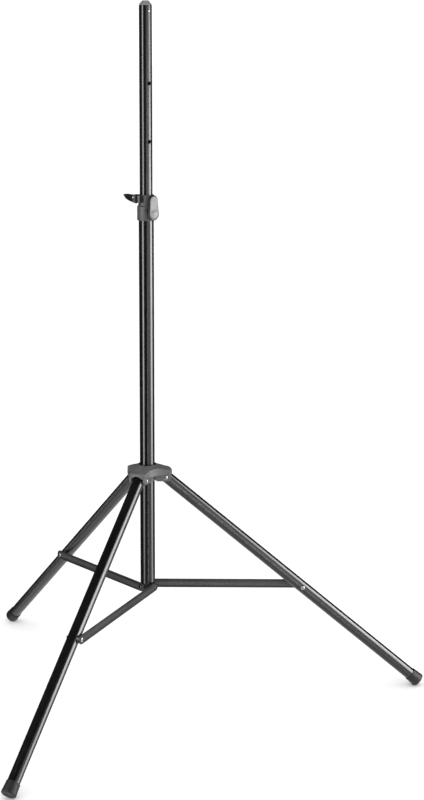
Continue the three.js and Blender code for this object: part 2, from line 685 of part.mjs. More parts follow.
function alongLeg(geometry) {
  return geometry.rotateY(Math.PI / 2);
}

function legTube() {
  return carve([alongLeg(ring(LEG_RADIUS, LEG_BORE, -LEG_ABOVE_PIVOT, TUBE_END))], [
    crosswise(PIVOT_PIN_RADIUS + GAP, 0, 0, -POLE_END, POLE_END),
    crosswise(LEG_RIVET_RADIUS + GAP, BRACE_ON_LEG, 0, -POLE_END, POLE_END),
  ]);
}

// Plastic insert that keeps the pivot pin from crushing the tube.
function legInsert() {
  const start = INSERT_RISE - LEG_ABOVE_PIVOT;
  return carve([alongLeg(cylinder(LEG_BORE - GAP, start, start + INSERT_LENGTH))], [
    crosswise(PIVOT_PIN_RADIUS + GAP, 0, 0, -POLE_END, POLE_END),
  ]);
}

function foot(floorInLeg) {
  const start = LEG_TO_FOOT;
  const end = LEG_TO_FOOT + FOOT_LENGTH;
  const bore = LEG_RADIUS + GAP;
  const rounding = arc(end - FOOT_ROUNDING, FOOT_END_RADIUS - FOOT_ROUNDING, FOOT_ROUNDING, 90, 0, 3);
  const body = revolve([
    [bore, start], [FOOT_LIP_RADIUS - FOOT_LIP_CHAMFER, start], [FOOT_LIP_RADIUS, start + FOOT_LIP_CHAMFER],
    ...rounding.map(([along, radius]) => [radius, along]),
    [0, end], [0, TUBE_END + GAP], [bore, TUBE_END + GAP], [bore, start],
  ]);
  return carve([alongLeg(body)], [floorInLeg]);
}

// Plastic saddle between the round leg and the flat brace.
function braceSaddle() {
  const face = BRACE_INNER_FACE - WASHER_GAP;
  return carve([crosswise(SADDLE_RADIUS, BRACE_ON_LEG, 0, SADDLE_START, face, 20)], [
    alongLeg(cylinder(LEG_RADIUS + GAP, BRACE_ON_LEG - 40, BRACE_ON_LEG + 40)),
    crosswise(LEG_RIVET_RADIUS + GAP, BRACE_ON_LEG, 0, 0, POLE_END),
  ]);
}

function legRivet() {
  const face = -LEG_RADIUS - GAP;
  const end = BRACE_INNER_FACE - LEG_RIVET_SHORT;
  return carve([
    crosswise(LEG_RIVET_RADIUS, BRACE_ON_LEG, 0, face - 1, end),
    crosswise(LEG_RIVET_HEAD_RADIUS, BRACE_ON_LEG, 0, face - LEG_RIVET_HEAD_HEIGHT, face, HEAD_SIDES),
  ]);
}

// ---------------------------------------------------------------- braces
// In the brace's own frame the inner pivot is the origin and +X runs along the bar.

function brace(length) {
  const half = BRACE_HALF_WIDTH;
  const shape = outline([...arc(0, 0, half, 90, 270, 10), ...arc(length, 0, half, -90, 90, 10)]);
  return carve([sideways(shape, BRACE_INNER_FACE, BRACE_OUTER_FACE, BRACE_BEVEL)], [
    crosswise(RIVET_RADIUS + GAP, 0, 0, 0, POLE_END + 10),
    crosswise(RIVET_RADIUS + GAP, length, 0, 0, POLE_END + 10),
  ]);
}

function headedRivet(x, z, inner) {
  const face = BRACE_OUTER_FACE + GAP;
  return carve([
    crosswise(RIVET_RADIUS, x, z, inner, face + 1),
    crosswise(RIVET_HEAD_RADIUS, x, z, face, face + RIVET_HEAD_HEIGHT, HEAD_SIDES),
  ]);
}

// ---------------------------------------------------------------- put together

place(stand, 'outer_tube', outerTube(), blackCoat);
place(stand, 'bottom_fitting', bottomFitting(), blackPlastic);
place(stand, 'upper_bush',
  ring(OUTER_BORE - GAP, NECK_BORE, UPPER_BUSH_BOTTOM, UPPER_BUSH_TOP), whitePlastic);
const guideBottom = POLE_BOTTOM + GUIDE_RISE;
place(stand, 'guide_bush',
  ring(OUTER_BORE - GAP, POLE_RADIUS + GAP, guideBottom, guideBottom + GUIDE_LENGTH), whitePlastic);
place(stand, 'inner_tube', innerTube(), blackCoat);
place(stand, 'top_cap', topCap(), satinGrey);
place(stand, 'clamp_body', clampBody(), slateGrey);
place(turned(stand, SET_SCREW_AZIMUTH), 'set_screw', setScrew(), steel);

const leverSide = turned(stand, LEVER_AZIMUTH);
place(leverSide, 'cap_rivet', capRivet(), steel);
place(leverSide, 'clamp_pad', clampPad(), whitePlastic);
place(leverSide, 'clamp_nut', clampNut(), steel);
place(leverSide, 'clamp_screw', clampScrew(), steel);
place(leverSide, 'clamp_lever', clampLever(), blackPlastic);
place(leverSide, 'clamp_lever_cover', clampLeverCover(), lightGrey);

const latchSide = turned(stand, LATCH_AZIMUTH);
place(latchSide, 'safety_bolt', safetyBolt(), steel);
place(latchSide, 'bolt_cross_pin',
  crosswise(CROSS_PIN_RADIUS, CROSS_PIN_R, BOLT_Z, -CROSS_PIN_HALF, CROSS_PIN_HALF), darkSteel);
place(latchSide, 'bolt_retainer', boltRetainer(), steel);
place(latchSide, 'bolt_spring', boltSpring(), steel);
place(latchSide, 'release_lever', releaseLever(), blackPlastic);
place(latchSide, 'release_lever_pin',
  crosswise(LATCH_PIN_RADIUS, LATCH_PIN_R, LATCH_PIN_Z, -LATCH_PIN_HALF, LATCH_PIN_HALF), darkSteel);

place(stand, 'hub', hub(), satinGrey);
place(stand, 'hub_bush', hubBush(), blackPlastic);
const lockSide = turned(stand, LOCK_AZIMUTH);
place(lockSide, 'lock_screw', lockScrew(), steel);
place(lockSide, 'lock_knob', lockKnob(), blackPlastic);

for (let k = 0; k < LEGS; k += 1) {
  const legPlane = turned(stand, k * LEG_STEP);
  place(legPlane, `leg_pivot_${k}`, pivotPin(), steel);

  const leg = new THREE.Group();
  leg.position.set(LEG_PIVOT_R, 0, LEG_PIVOT_Z);
  leg.rotation.y = LEG_SLOPE;
  leg.updateMatrix();
  legPlane.add(leg);
  const beyond = LEG_TO_FOOT + 150;
  const floorInLeg = box(0, beyond, -60, 60, -60, 0).applyMatrix4(leg.matrix.clone().invert());
  place(leg, `leg_tube_${k}`, legTube(), blackCoat);
  place(leg, `leg_insert_${k}`, legInsert(), blackPlastic);
  place(leg, `foot_${k}`, foot(floorInLeg), rubber);
  place(leg, `brace_saddle_${k}`, braceSaddle(), blackPlastic);
  place(leg, `leg_rivet_${k}`, legRivet(), steel);

  const outerPin = new THREE.Vector3(BRACE_ON_LEG, 0, 0).applyMatrix4(leg.matrix);
  const rise = outerPin.z - BRACE_PIN_Z;
  const length = Math.hypot(outerPin.x, rise);
  const arm = new THREE.Group();
  arm.position.set(0, 0, BRACE_PIN_Z);
  arm.rotation.y = -Math.atan2(rise, outerPin.x);
  legPlane.add(arm);
  place(legPlane, `brace_inner_rivet_${k}`, headedRivet(0, BRACE_PIN_Z, INNER_RIVET_START), darkSteel);
  place(arm, `brace_${k}`, brace(length), blackCoat);
  place(arm, `brace_outer_rivet_${k}`, headedRivet(length, 0, BRACE_INNER_FACE + 0.1), steel);
}

export default stand;
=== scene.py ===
"""Looks of the speaker tripod stand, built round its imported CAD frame."""

import json
import math

import bmesh
import bpy
from mathutils import Matrix, Vector


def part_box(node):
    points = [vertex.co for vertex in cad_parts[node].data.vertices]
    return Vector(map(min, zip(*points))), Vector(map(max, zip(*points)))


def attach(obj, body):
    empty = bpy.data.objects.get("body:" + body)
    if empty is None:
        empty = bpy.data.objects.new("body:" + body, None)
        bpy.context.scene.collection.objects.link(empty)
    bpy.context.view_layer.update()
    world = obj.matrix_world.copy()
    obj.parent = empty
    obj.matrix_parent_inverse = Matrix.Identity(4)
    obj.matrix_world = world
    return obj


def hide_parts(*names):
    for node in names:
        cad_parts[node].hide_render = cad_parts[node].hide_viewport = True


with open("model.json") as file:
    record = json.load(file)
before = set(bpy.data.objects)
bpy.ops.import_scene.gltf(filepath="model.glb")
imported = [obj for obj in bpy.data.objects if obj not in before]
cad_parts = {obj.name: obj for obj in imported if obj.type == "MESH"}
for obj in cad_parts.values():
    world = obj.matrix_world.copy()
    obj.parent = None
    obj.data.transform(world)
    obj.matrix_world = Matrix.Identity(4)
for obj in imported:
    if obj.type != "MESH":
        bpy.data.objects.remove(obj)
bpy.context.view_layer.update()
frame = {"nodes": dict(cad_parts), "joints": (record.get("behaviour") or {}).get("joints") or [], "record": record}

# ---------------------------------------------------------------- measures from the frame
# Shapes are drawn in millimetres round the pole's axis, with z = 0 on the floor.

MM = 0.001
JOINTS = {joint["name"]: joint for joint in frame["joints"]}
RATIOS = {c["joint"]: c["ratio"] for c in frame["record"]["behaviour"]["couplings"]}
POLE = Vector(JOINTS["pole_turn"]["pos_m"][:2] + [0])
LEGS = range(3)
LEG_STEP = 120


def reach(node, axis):
    """Lowest and highest value of a node along one axis, in millimetres from the pole's axis."""
    low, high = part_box(node)
    return (low[axis] - POLE[axis]) / MM, (high[axis] - POLE[axis]) / MM


def joint_place(name):
    place = Vector(JOINTS[name]["pos_m"]) - POLE
    return place / MM


POLE_RADIUS = reach("inner_tube", 0)[1]
POLE_BORE = POLE_RADIUS - 1.8
POLE_Z = reach("inner_tube", 2)
OUTER_RADIUS = reach("outer_tube", 0)[1]
OUTER_BORE = OUTER_RADIUS - 1.5
OUTER_Z = reach("outer_tube", 2)
CAP_Z = reach("top_cap", 2)
CLAMP_Z = reach("clamp_body", 2)
HUB_Z = reach("hub", 2)
HUB_REACH = reach("hub", 0)[1]
LEG_RADIUS = reach("leg_tube_0", 1)[1]
FOOT_RADIUS = reach("foot_0", 1)[1]
LEG_PIVOT = joint_place("leg_0_fold")
LEG_SLOPE = math.pi / 2 - RATIOS["leg_0_fold"] * JOINTS["hub_slide"]["range_m"][1]
BRACE_PIVOT = joint_place("brace_0_fold")
SADDLE = [sum(reach("brace_saddle_0", axis)) / 2 for axis in (0, 2)]
BRACE_ON_LEG = math.hypot(SADDLE[0] - LEG_PIVOT.x, SADDLE[1] - LEG_PIVOT.z)
BRACE_TILT = math.atan2(SADDLE[1] - BRACE_PIVOT.z, SADDLE[0])
BRACE_LENGTH = math.hypot(SADDLE[0], SADDLE[1] - BRACE_PIVOT.z)
BRACE_FACES = reach("brace_0", 1)
BRACE_Z = reach("brace_0", 2)
BRACE_HALF_WIDTH = ((BRACE_Z[1] - BRACE_Z[0]) - BRACE_LENGTH * abs(math.sin(BRACE_TILT))) / 2
LEVER_AXIS = Vector(JOINTS["clamp_lever_turn"]["axis"])
LEVER_AZIMUTH = math.degrees(math.atan2(LEVER_AXIS.y, LEVER_AXIS.x))
LEVER_Z = joint_place("clamp_lever_turn").z
LATCH_PIVOT = joint_place("release_lever_press")
LATCH_AZIMUTH = 180
BOLT_Z = sum(reach("safety_bolt", 2)) / 2
BOLT_R = [-value for value in reversed(reach("safety_bolt", 0))]
CROSS_PIN_R = -sum(reach("bolt_cross_pin", 0)) / 2
LOCK_AXIS = Vector(JOINTS["lock_knob_turn"]["axis"])
LOCK_AZIMUTH = math.degrees(math.atan2(LOCK_AXIS.y, LOCK_AXIS.x))
LOCK_Z = joint_place("lock_knob_turn").z

# Sizes that the frame's boxes don't give, the same as in the CAD source.
GAP = 0.3               # between pieces that touch
HOLE_RADIUS = 5.5       # index holes in the inner tube
FIRST_HOLE = 1753
HOLE_PITCH = 156.5
HOLES = 6
CAP_RIVET_DROP = 15     # below the inner tube's top
PIN_HOLE = 4.3          # for the pivot pins and the braces' rivets
LEG_RIVET_HOLE = 3.8
LOCK_HOLE = 4.4
DRILL = 30              # half length of a tool that goes right through
SET_SCREW = (-88, 1411.5)   # azimuth and height
CLAMP_RADIUS = 25
CLAMP_SHOULDER = 38.8   # above the clamp's lower end
NECK_RADIUS = 21.5
YOKE_HALF = 21.8        # half width of the release lever's yoke
YOKE_BORE = 21.9
LEVER_MIDDLE = (-1, 1.4)    # of the cover, from the lever's own middle
LEG_TO_FOOT = 952.2     # along the leg from its pivot
LEG_TUBE_START = -10
LEG_TUBE_END = LEG_TO_FOOT + 26
FOOT_LENGTH = 34

# ---------------------------------------------------------------- placing


def basis(x, y, z):
    return Matrix((x, y, z)).transposed().to_4x4()


STAND = Matrix.Translation(POLE) @ Matrix.Scale(MM, 4)
OUTWARDS = basis((0, 1, 0), (0, 0, 1), (1, 0, 0))   # drawn along z, pointing along +X
ACROSS = basis((1, 0, 0), (0, 0, 1), (0, -1, 0))    # drawn in x and y, upright in X and Z
PINWISE = basis((0, 0, 1), (1, 0, 0), (0, 1, 0))    # drawn along z, pointing along +Y


def turned(azimuth):
    return STAND @ Matrix.Rotation(math.radians(azimuth), 4, "Z")


def lifted(x, z):
    return Matrix.Translation((x, 0, z))


def radial(azimuth, height):
    return turned(azimuth) @ lifted(0, height) @ OUTWARDS


def leg_frame(k):
    return turned(LEG_STEP * k) @ lifted(LEG_PIVOT.x, LEG_PIVOT.z) @ Matrix.Rotation(LEG_SLOPE, 4, "Y")


def brace_frame(k):
    return turned(LEG_STEP * k) @ lifted(0, BRACE_PIVOT.z) @ Matrix.Rotation(-BRACE_TILT, 4, "Y")


# ---------------------------------------------------------------- outlines


def arc(cx, cy, radius, start, end, steps):
    """Points along an arc, angles in degrees."""
    turn = [math.radians(start + (end - start) * i / steps) for i in range(steps + 1)]
    return [(cx + radius * math.cos(a), cy + radius * math.sin(a)) for a in turn]


def rounded(corners, steps=5, closed=True):
    """An outline in which each corner given as (x, y, radius) becomes an arc."""
    out = []
    count = len(corners)
    for i, corner in enumerate(corners):
        here = Vector(corner[:2])
        radius = corner[2] if len(corner) > 2 else 0
        if not radius or (not closed and i in (0, count - 1)):
            out.append(tuple(here))
            continue
        back = Vector(corners[i - 1][:2]) - here
        ahead = Vector(corners[(i + 1) % count][:2]) - here
        half = back.angle(ahead) / 2
        room = min(radius / math.tan(half), 0.49 * back.length, 0.49 * ahead.length)
        middle = here + (back.normalized() + ahead.normalized()).normalized() * room / math.cos(half)
        first = here + back.normalized() * room - middle
        last = here + ahead.normalized() * room - middle
        sweep = first.angle_signed(last)
        for step in range(steps + 1):
            spoke = first.copy()
            spoke.rotate(Matrix.Rotation(-sweep * step / steps, 2))
            out.append(tuple(middle + spoke))
    return out


# ---------------------------------------------------------------- meshes


def lathe(profile, sides=96, matrix=None):
    """Closed surface of a profile of (radius, z) turned about z; it ends on the axis or closes on itself."""
    bm = bmesh.new()
    rings = []
    for radius, z in profile:
        turns = 1 if radius < 1e-6 else sides
        angles = [2 * math.pi * i / sides for i in range(turns)]
        rings.append([bm.verts.new((radius * math.cos(a), radius * math.sin(a), z)) for a in angles])
    pairs = list(zip(rings, rings[1:]))
    if len(rings[0]) > 1:
        pairs.append((rings[-1], rings[0]))
    for low, high in pairs:
        for i in range(sides):
            j = (i + 1) % sides
            corners = [low[i % len(low)], low[j % len(low)], high[j % len(high)], high[i % len(high)]]
            corners = list(dict.fromkeys(corners))
            if len(corners) > 2:
                bm.faces.new(corners)
    return finished(bm, matrix)


def finished(bm, matrix=None):
    bmesh.ops.recalc_face_normals(bm, faces=bm.faces)
    if matrix:
        bm.transform(matrix)
    return bm


def prism(points, low, high, bevel=0, matrix=None, segments=3):
    """An outline drawn in x and y, raised from low to high, its edges rounded by bevel."""
    bm = bmesh.new()
    face = bm.faces.new([bm.verts.new((x, y, low)) for x, y in points])
    raised = bmesh.ops.extrude_face_region(bm, geom=[face])["geom"]
    verts = [item for item in raised if isinstance(item, bmesh.types.BMVert)]
    bmesh.ops.translate(bm, verts=verts, vec=(0, 0, high - low))
    if bevel:
        rims = [e for e in bm.edges if abs(e.verts[0].co.z - e.verts[1].co.z) < 1e-6]
        bmesh.ops.bevel(bm, geom=rims, offset=bevel, segments=segments, profile=0.5, affect="EDGES")
    return finished(bm, matrix)


def cylinder(radius, low, high, sides=48, matrix=None):
    return lathe([(0, low), (radius, low), (radius, high), (0, high)], sides, matrix)


def block(x, y, z, matrix=None):
    return prism([(x[0], y[0]), (x[1], y[0]), (x[1], y[1]), (x[0], y[1])], z[0], z[1], 0, matrix)


def linked(name, bm):
    mesh = bpy.data.meshes.new(name)
    bm.to_mesh(mesh)
    bm.free()
    obj = bpy.data.objects.new(name, mesh)
    bpy.context.scene.collection.objects.link(obj)
    return obj


def applied(obj):
    """Replaces an object's mesh by what its modifiers make of it."""
    graph = bpy.context.evaluated_depsgraph_get()
    mesh = bpy.data.meshes.new_from_object(obj.evaluated_get(graph))
    obj.modifiers.clear()
    obj.data = mesh
    return obj


def carved(name, joined, removed=()):
    """One object from closed meshes: the joined ones, less the removed ones."""
    obj = linked(name, joined[0])
    tools = [(bm, "UNION") for bm in joined[1:]] + [(bm, "DIFFERENCE") for bm in removed]
    helpers = []
    for bm, operation in tools:
        helpers.append(linked("tool", bm))
        cut = obj.modifiers.new("cut", "BOOLEAN")
        cut.operation = operation
        cut.solver = "MANIFOLD"
        cut.object = helpers[-1]
    applied(obj)
    for helper in helpers:
        bpy.data.objects.remove(helper)
    return obj


def shared(name, first, second):
    """The part that two closed meshes have in common."""
    obj = linked(name, first)
    helper = linked("tool", second)
    meet = obj.modifiers.new("meet", "BOOLEAN")
    meet.operation = "INTERSECT"
    meet.solver = "MANIFOLD"
    meet.object = helper
    applied(obj)
    bpy.data.objects.remove(helper)
    bm = bmesh.new()
    bm.from_mesh(obj.data)
    bpy.data.objects.remove(obj)
    return bm


def softened(obj, voxel, passes):
    """Rounds every edge of a moulded piece: an even fine mesh, then smoothing."""
    remesh = obj.modifiers.new("remesh", "REMESH")
    remesh.mode = "VOXEL"
    remesh.voxel_size = voxel
    smooth = obj.modifiers.new("smooth", "SMOOTH")
    smooth.factor = 0.5
    smooth.iterations = passes
    return applied(obj)


def piece(obj, body, nodes, look, matrix=STAND, crease=32):
    """Puts a shape in its place, on its body, in its material, standing for its CAD nodes."""
    obj.data.transform(matrix)
    obj.data.shade_smooth()
    if crease:
        obj.data.set_sharp_from_angle(angle=math.radians(crease))
    obj.data.materials.clear()
    obj.data.materials.append(look)
    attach(obj, body)
    if nodes:
        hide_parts(*nodes)
    return obj


# ---------------------------------------------------------------- materials


class Look:
    """A procedural material: a Principled shader and the few nodes that feed it."""

    def __init__(self, name, **sockets):
        self.material = bpy.data.materials.new(name)
        self.material.use_nodes = True
        self.nodes = self.material.node_tree.nodes
        self.links = self.material.node_tree.links
        self.shader = self.nodes["Principled BSDF"]
        for socket, value in sockets.items():
            self.shader.inputs[socket.replace("_", " ")].default_value = value
        self.place = self.nodes.new("ShaderNodeTexCoord").outputs["Object"]
        self.normal = None

    def node(self, kind, inputs=(), **settings):
        made = self.nodes.new(kind)
        for key, value in settings.items():
            setattr(made, key, value)
        for socket, value in dict(inputs).items():
            if isinstance(value, bpy.types.NodeSocket):
                self.links.new(value, made.inputs[socket])
            else:
                made.inputs[socket].default_value = value
        return made

    def stretched(self, scale):
        return self.node("ShaderNodeMapping", {"Vector": self.place, "Scale": scale}).outputs["Vector"]

    def noise(self, scale, detail=3.0, place=None, rough=0.5):
        made = self.node("ShaderNodeTexNoise", {
            "Vector": place or self.place, "Scale": scale, "Detail": detail, "Roughness": rough})
        return made.outputs["Fac"]

    def ranged(self, value, from_low, from_high, low, high):
        made = self.node("ShaderNodeMapRange", {
            "Value": value, "From Min": from_low, "From Max": from_high, "To Min": low, "To Max": high})
        return made.outputs["Result"]

    def mixed(self, factor, first, second):
        made = self.node("ShaderNodeMix", data_type="RGBA")
        for socket, value in zip((made.inputs[0], made.inputs[6], made.inputs[7]), (factor, first, second)):
            if isinstance(value, bpy.types.NodeSocket):
                self.links.new(value, socket)
            else:
                socket.default_value = value
        return made.outputs[2]

    def math(self, operation, first, second):
        made = self.node("ShaderNodeMath", {0: first, 1: second}, operation=operation)
        return made.outputs[0]

    def worn_edges(self, start=0.53, end=0.6):
        """1 on sharp outer edges, 0 elsewhere, broken up by noise."""
        bend = self.node("ShaderNodeNewGeometry").outputs["Pointiness"]
        edge = self.ranged(bend, start, end, 0, 1)
        return self.math("MULTIPLY", edge, self.ranged(self.noise(260), 0.35, 0.65, 0.25, 1))

    def bump(self, height, strength, distance):
        inputs = {"Height": height, "Strength": strength, "Distance": distance}
        if self.normal:
            inputs["Normal"] = self.normal
        self.normal = self.node("ShaderNodeBump", inputs).outputs["Normal"]

    def finish(self, colour, roughness):
        self.links.new(colour, self.shader.inputs["Base Color"])
        self.links.new(roughness, self.shader.inputs["Roughness"])
        if self.normal:
            self.links.new(self.normal, self.shader.inputs["Normal"])
        return self.material


def grey(value, tint=(1.0, 1.0, 1.0)):
    return (*(value * part for part in tint), 1.0)


def coated_metal(name, value, rough, coat, along):
    """Black powder-coated steel: slight orange peel, handling streaks along the tube, bright worn edges."""
    look = Look(name, Metallic=0.0, Coat_Weight=coat, Coat_Roughness=0.1, Specular_IOR_Level=0.55)
    streaks = look.noise(60, 4, look.stretched(along))
    cloud = look.noise(9, 2)
    colour = look.mixed(look.ranged(cloud, 0.35, 0.65, 0, 1), grey(value * 0.8), grey(value * 1.25))
    colour = look.mixed(look.worn_edges(), colour, grey(0.16))
    roughness = look.ranged(streaks, 0.3, 0.7, rough - 0.05, rough + 0.07)
    look.bump(look.noise(700, 2), 0.12, 0.00005)
    look.bump(look.noise(90, 2), 0.08, 0.0002)
    return look.finish(colour, roughness)


def moulded(name, value, tint, rough, grain, edge, specular=0.5):
    """Moulded plastic with a fine spark-eroded grain, paler where edges have been rubbed."""
    look = Look(name, Specular_IOR_Level=specular)
    cloud = look.noise(45, 3)
    mottle = look.ranged(cloud, 0.35, 0.65, 0, 1)
    colour = look.mixed(mottle, grey(value * 0.9, tint), grey(value * 1.1, tint))
    specks = look.ranged(look.noise(1600, 2), 0.62, 0.72, 0, 0.35)
    colour = look.mixed(specks, colour, grey(value * 1.5, tint))
    colour = look.mixed(look.worn_edges(), colour, grey(edge, tint))
    roughness = look.ranged(look.noise(120, 3), 0.3, 0.7, rough - 0.06, rough + 0.08)
    look.bump(look.noise(1300, 3), grain, 0.00008)
    return look.finish(colour, roughness)


def plated_steel(name, clean=0.72, dull=0.46):
    """Zinc-plated steel with fine turning marks and faint tarnish."""
    look = Look(name, Metallic=1.0)
    tarnish = look.ranged(look.noise(180, 4), 0.4, 0.7, 0, 1)
    colour = look.mixed(tarnish, grey(clean, (0.98, 1, 1.02)), grey(dull, (1.03, 1, 0.95)))
    roughness = look.ranged(look.noise(420, 3), 0.3, 0.7, 0.16, 0.34)
    look.bump(look.noise(2400, 2, look.stretched((1, 1, 0.15))), 0.1, 0.00003)
    return look.finish(colour, roughness)


def foot_rubber(name):
    """Black rubber with moulded pores, greyed by dust where it meets the floor."""
    look = Look(name, Specular_IOR_Level=0.45)
    low = look.node("ShaderNodeSeparateXYZ", {0: look.place}).outputs["Z"]
    dust = look.math("MULTIPLY", look.ranged(low, 0.0, 0.035, 0.5, 0), look.noise(140, 4))
    cloud = look.noise(60, 3)
    colour = look.mixed(cloud, grey(0.006), grey(0.014))
    colour = look.mixed(dust, colour, grey(0.05, (1.0, 0.97, 0.92)))
    roughness = look.ranged(look.noise(200, 3), 0.3, 0.7, 0.42, 0.6)
    look.bump(look.noise(1100, 3), 0.3, 0.0001)
    return look.finish(colour, roughness)


TUBE_COAT = coated_metal("tube_coat", 0.003, 0.2, 0.6, (1, 1, 0.04))
BRACE_COAT = coated_metal("brace_coat", 0.019, 0.38, 0.1, (1, 1, 1))
HUB_GREY = moulded("hub_grey", 0.09, (1.0, 0.99, 1.03), 0.5, 0.35, 0.16)
CLAMP_SLATE = moulded("clamp_slate", 0.06, (1.03, 0.97, 1.08), 0.46, 0.3, 0.13)
CAP_GREY = moulded("cap_grey", 0.15, (1.0, 1.0, 1.0), 0.5, 0.3, 0.25)
LEVER_GREY = moulded("lever_grey", 0.2, (0.97, 1.0, 1.01), 0.38, 0.2, 0.5)
BLACK_PLASTIC = moulded("black_plastic", 0.005, (1.0, 1.0, 1.03), 0.3, 0.25, 0.03, 0.55)
BUSH_PLASTIC = moulded("bush_plastic", 0.55, (1.0, 0.98, 0.92), 0.45, 0.15, 0.6)
STEEL = plated_steel("bright_steel")
DARK_STEEL = plated_steel("dark_steel", 0.12, 0.07)
RUBBER = foot_rubber("foot_rubber")

# ---------------------------------------------------------------- tubes


def tube(name, outer, bore, low, high, holes, body, node, matrix):
    """A drawn tube with rounded ends and drilled holes, shaded as truly round."""
    wall = outer - bore
    edge = min(0.6, wall / 3)
    profile = rounded([(bore, low), (outer, low, edge), (outer, high, edge), (bore, high)], 3)
    obj = carved(name, [lathe(profile, 96)], holes)
    made = piece(obj, body, [node], TUBE_COAT, matrix, 30)
    place = matrix.inverted()
    turn = matrix.to_3x3().normalized()
    mesh = made.data
    normals = [normal.vector.copy() for normal in mesh.corner_normals]
    for face in mesh.polygons:
        spots = [place @ mesh.vertices[v].co for v in face.vertices]
        for radius, sign in ((outer, 1), (bore, -1)):
            if all(abs(spot.xy.length - radius) < 0.05 for spot in spots):
                for corner, spot in zip(face.loop_indices, spots):
                    normals[corner] = turn @ Vector((spot.x * sign, spot.y * sign, 0)).normalized()
    mesh.normals_split_custom_set(normals)
    return made


def pole_pieces():
    drill = Matrix.Rotation(math.radians(LEVER_AZIMUTH), 4, "Z") @ OUTWARDS
    rivet_z = POLE_Z[1] - CAP_RIVET_DROP
    holes = []
    for i in range(HOLES):
        holes.append(cylinder(HOLE_RADIUS, -DRILL, DRILL, 32, lifted(0, FIRST_HOLE - i * HOLE_PITCH) @ drill))
    holes.append(cylinder(3, 0, DRILL, 24, lifted(0, rivet_z) @ drill))
    tube("inner_tube_skin", POLE_RADIUS, POLE_BORE, *POLE_Z, holes, "pole", "inner_tube", STAND)
    tube("outer_tube_skin", OUTER_RADIUS, OUTER_BORE, *OUTER_Z, [], "mast", "outer_tube", STAND)

    seat = POLE_Z[1] + GAP
    cap = rounded([
        (0, CAP_Z[0]), (POLE_BORE - 0.4, CAP_Z[0], 1), (POLE_BORE - 0.4, seat), (POLE_RADIUS, seat, 0.3),
        (POLE_RADIUS, seat + 1.4, 1), (8.2, CAP_Z[1], 2.2), (0, CAP_Z[1]),
    ], closed=False)
    piece(linked("top_cap_cone", lathe(cap)), "pole", ["top_cap"], CAP_GREY)
    head = rounded([(0, 10), (2.6, 10), (2.6, POLE_RADIUS + 0.25, 0.5), (0, POLE_RADIUS + 0.45)],
                   closed=False)
    piece(linked("cap_rivet_head", lathe(head, 32)), "pole", ["cap_rivet"], STEEL,
          radial(LEVER_AZIMUTH, rivet_z))

    for name, node, body, bore in (("guide_ring", "guide_bush", "pole_carrier", POLE_RADIUS + 0.35),
                                   ("upper_ring", "upper_bush", "mast", POLE_RADIUS + 0.45)):
        low, high = reach(node, 2)
        outside = OUTER_BORE - GAP
        ring = rounded([(bore, low), (outside, low, 0.4), (outside, high, 0.4), (bore, high)], 2)
        piece(linked(name, lathe(ring, 72)), body, [node], BUSH_PLASTIC)


# ---------------------------------------------------------------- clamp


def clamp_collar():
    low, top = CLAMP_Z
    shoulder = low + CLAMP_SHOULDER
    seat = OUTER_Z[1] + GAP
    wall = rounded([
        (OUTER_RADIUS + GAP, low), (CLAMP_RADIUS, low, 1.6), (CLAMP_RADIUS, shoulder, 1.2),
        (22.4, shoulder + 0.9, 0.8), (NECK_RADIUS, shoulder + 3.5, 1.2), (NECK_RADIUS, top, 2.2),
        (17.9, top, 0.4), (17.9, seat), (OUTER_RADIUS + GAP, seat),
    ])
    here = STAND.inverted()
    boss = here @ radial(LEVER_AZIMUTH, LEVER_Z)
    screw = here @ radial(*SET_SCREW)
    latch = here @ radial(LATCH_AZIMUTH, BOLT_Z)
    ear = [(19, 1429.5), (33.5, 1429.5), (33.5, 1446), (31, 1448.6), (19, 1448.6)]
    removed = [
        cylinder(5.8, 15, 21.6, 32, boss), cylinder(4.4, 15, 31, 32, boss), cylinder(7.4, 22.2, 31, 6, boss),
        cylinder(3.1, 15, 30, 24, screw), cylinder(5.2, 22.6, 30, 32, screw),
        cylinder(3.5, 15, 25, 32, latch), cylinder(4.6, 21.6, 35, 32, latch),
    ]
    joined = [
        lathe(wall, 128), cylinder(12.5, 22, 29.5, 48, boss),
        prism(ear, -5.6, 5.6, 0, Matrix.Rotation(math.pi, 4, "Z") @ ACROSS),
    ]
    obj = softened(carved("clamp_collar", joined, removed), 0.45, 4)
    piece(obj, "mast", ["clamp_body"], CLAMP_SLATE, crease=0)


def set_screw():
    head = rounded([(0, 21.2), (2.7, 21.2), (2.7, 24.1, 0.4), (0, 24.1)], closed=False)
    slot = block((-4, 4), (-0.45, 0.45), (23.3, 26))
    obj = carved("set_screw_head", [lathe(head, 32)], [slot])
    piece(obj, "mast", ["set_screw"], STEEL, radial(*SET_SCREW))


def lever_outline(hub, arm, tip, x=0, y=0, steps=16):
    lean = math.degrees(math.asin((hub - arm) / (tip - y)))
    return arc(x, tip, arm, lean, 180 - lean, steps) + arc(x, y, hub, 180 - lean, 360 + lean, steps * 2)


